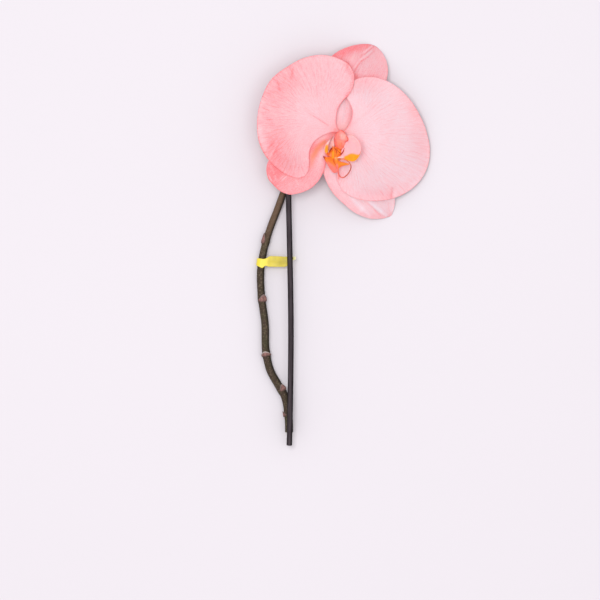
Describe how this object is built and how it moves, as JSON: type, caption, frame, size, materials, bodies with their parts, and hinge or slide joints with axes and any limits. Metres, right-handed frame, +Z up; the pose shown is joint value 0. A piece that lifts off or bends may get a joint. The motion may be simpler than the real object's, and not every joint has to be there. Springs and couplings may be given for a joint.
{
  "type": "moth orchid stem",
  "caption": "Cut moth orchid stem with a single large coral-pink bloom, lying face up with its dark support stake and yellow tie.",
  "frame": {"origin": "centre of the bounding box on the surface that the stem lies on", "axes": "+Y along the stem from its cut foot to the flower, +X to the right as the flower is looked down on, +Z up out of the flower's face"},
  "size_m": [0.1516, 0.3497, 0.0336],
  "materials": {
    "stem": "satin olive-brown skin with fine pale speckles",
    "pedicel": "satin green-brown skin, coral at the flower's seat",
    "bract_1": "dry matt pink-brown scale",
    "bract_2": "dry matt pink-brown scale",
    "bract_3": "dry matt pink-brown scale with a pale edge",
    "bract_4": "dry matt pink-brown scale",
    "bract_5": "dry matt pink-brown scale",
    "bract_floral": "dry matt pink-brown scale",
    "petal_left": "soft matt coral pink with fine veins",
    "petal_right": "soft matt coral pink with fine veins",
    "sepal_dorsal": "soft matt coral pink, deeper at the edge",
    "sepal_lateral_left": "soft matt coral pink, orange at the claw",
    "sepal_lateral_right": "soft matt coral pink with a pale crease",
    "lip": "waxy, pink lobes with yellow-orange and dark red marks",
    "column": "waxy coral",
    "anther_cap": "waxy pale coral",
    "stake": "near-black satin coating",
    "tie": "bright yellow smooth ribbon, no print"
  },
  "bodies": {
    "root": {"stem": "stem", "pedicel": "pedicel", "bract_1": "bract_1", "bract_2": "bract_2", "bract_3": "bract_3", "bract_4": "bract_4", "bract_5": "bract_5", "bract_floral": "bract_floral", "petal_left": "petal_left", "petal_right": "petal_right", "sepal_dorsal": "sepal_dorsal", "sepal_lateral_left": "sepal_lateral_left", "sepal_lateral_right": "sepal_lateral_right", "lip": "lip", "column": "column", "anther_cap": "anther_cap", "stake": "stake", "tie": "tie"}
  },
  "joints": []
}
